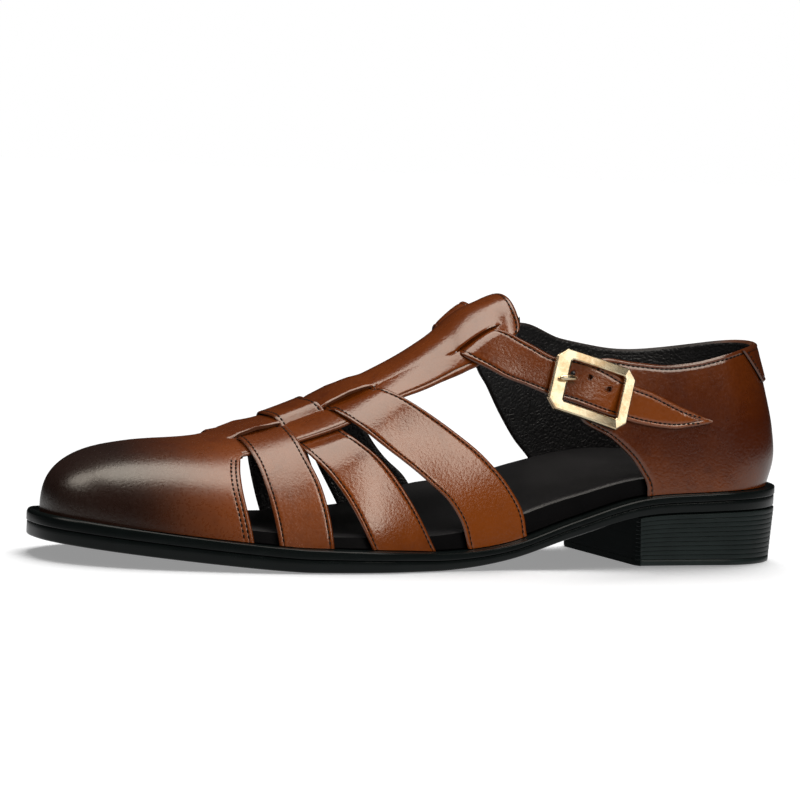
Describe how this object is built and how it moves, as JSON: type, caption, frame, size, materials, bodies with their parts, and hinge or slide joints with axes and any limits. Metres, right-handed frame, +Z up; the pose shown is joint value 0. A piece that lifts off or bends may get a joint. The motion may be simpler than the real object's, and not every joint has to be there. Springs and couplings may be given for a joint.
{
  "type": "roman sandal",
  "caption": "Closed-toe leather sandal for the left foot: woven cross straps on a centre bar, buckled ankle strap, raised footbed, welted sole and stacked block heel.",
  "frame": {"origin": "on the floor, under the middle of the shoe's bounding box", "axes": "-X to the toe, +X to the heel, -Y to the outer side with the buckle, +Z up"},
  "size_m": [0.302, 0.1041, 0.1008],
  "materials": {
    "upper_leather": "burnished tan brown, darker at the toe",
    "insole_leather": "matt black",
    "sole_rubber": "satin black",
    "buckle_brass": "brushed antique"
  },
  "bodies": {
    "root": {"upper": "upper_leather", "heel_tab": "upper_leather", "insole": "insole_leather", "welt": "sole_rubber", "outsole": "sole_rubber", "heel_stack": "sole_rubber", "top_lift": "sole_rubber", "buckle_frame": "buckle_brass", "buckle_prong": "buckle_brass"}
  },
  "joints": []
}
